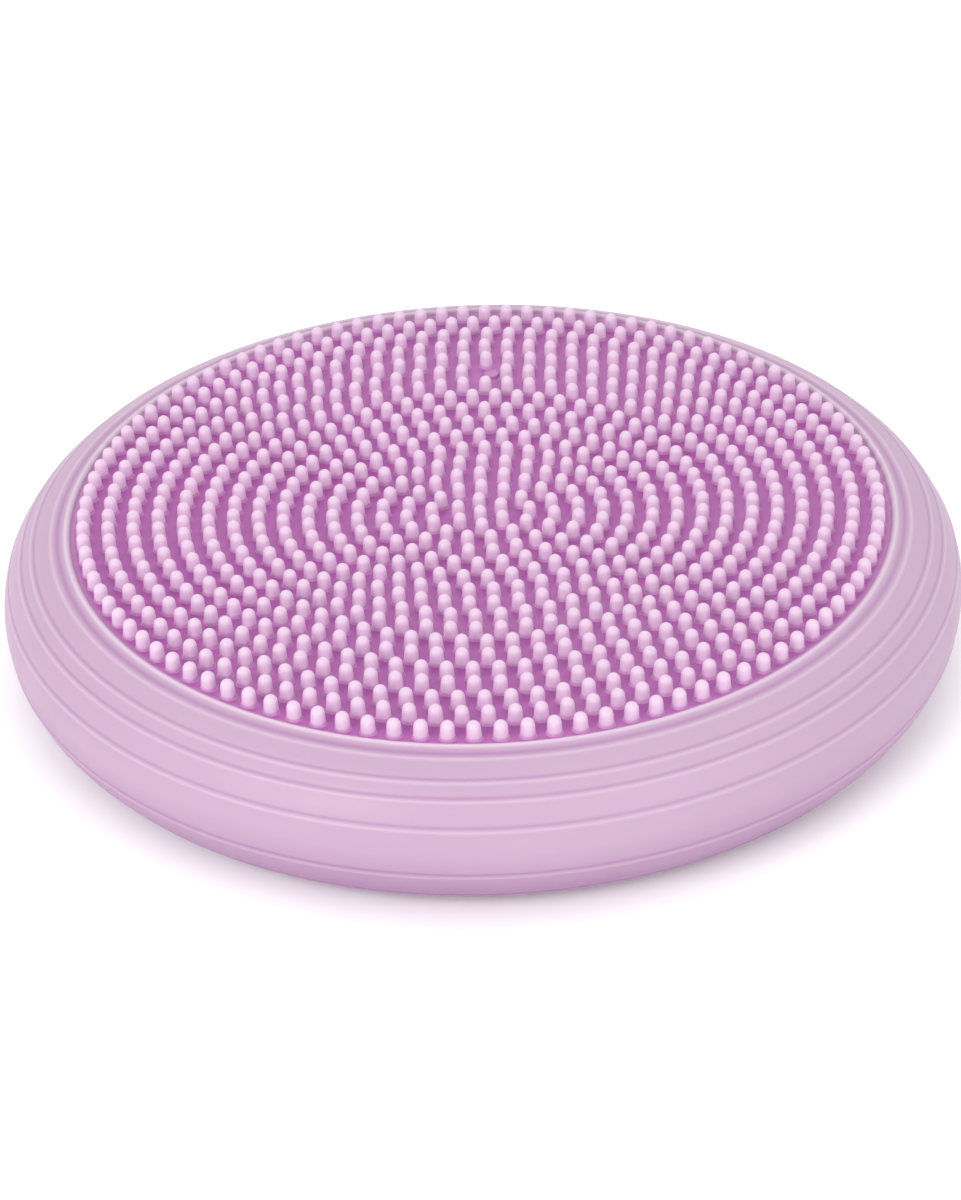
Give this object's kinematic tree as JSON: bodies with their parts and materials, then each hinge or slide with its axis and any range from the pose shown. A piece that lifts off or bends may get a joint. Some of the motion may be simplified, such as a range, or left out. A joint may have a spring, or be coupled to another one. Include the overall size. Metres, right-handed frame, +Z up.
{
  "type": "wobble cushion",
  "caption": "Round air-filled balance cushion with a dished top of concentric massage nubs, ringed half-round side wall and a needle valve with push-in plug.",
  "frame": {"origin": "centre of the foot ring on the underside, on the floor", "axes": "+Z up along the cushion's axis of symmetry; the inflation valve lies towards +Y"},
  "size_m": [0.33, 0.33, 0.0571],
  "materials": {
    "skin_pvc": "satin soft PVC, pale lilac pink",
    "nub_pvc": "satin soft PVC, pale lilac pink",
    "valve_rubber": "matte soft rubber",
    "plug_pvc": "satin soft PVC"
  },
  "bodies": {
    "base": {"base_panel": "skin_pvc", "base_rim": "skin_pvc", "lower_wall": "skin_pvc"},
    "lower_band": {"lower_ring_band": "skin_pvc", "equator_wall": "skin_pvc"},
    "upper_band": {"upper_ring_band": "skin_pvc", "upper_wall": "skin_pvc"},
    "top": {"top_rim": "skin_pvc", "massage_panel": "skin_pvc", "massage_nubs": "nub_pvc", "valve_body": "valve_rubber"},
    "plug": {"valve_plug": "plug_pvc"}
  },
  "joints": [
    {"name": "lean_fore_aft", "type": "hinge", "parent": "base", "child": "lower_band", "pos_m": [0, 0, 0.009], "axis": [1, 0, 0], "range_deg": [-4, 4], "stiffness_Nm_per_rad": 60, "deforming": ["lower_wall"]},
    {"name": "press_down", "type": "slide", "parent": "lower_band", "child": "upper_band", "axis": [0, 0, 1], "range_m": [-0.008, 0], "stiffness_N_per_m": 12000, "springref_m": 0.0005, "deforming": ["equator_wall"]},
    {"name": "lean_side", "type": "hinge", "parent": "upper_band", "child": "top", "pos_m": [0, 0, 0.044], "axis": [0, 1, 0], "range_deg": [-4, 4], "stiffness_Nm_per_rad": 60, "deforming": ["upper_wall"]},
    {"name": "valve_plug_pull", "type": "slide", "parent": "top", "child": "plug", "axis": [0, 0, 1], "range_m": [0, 0.02]}
  ]
}
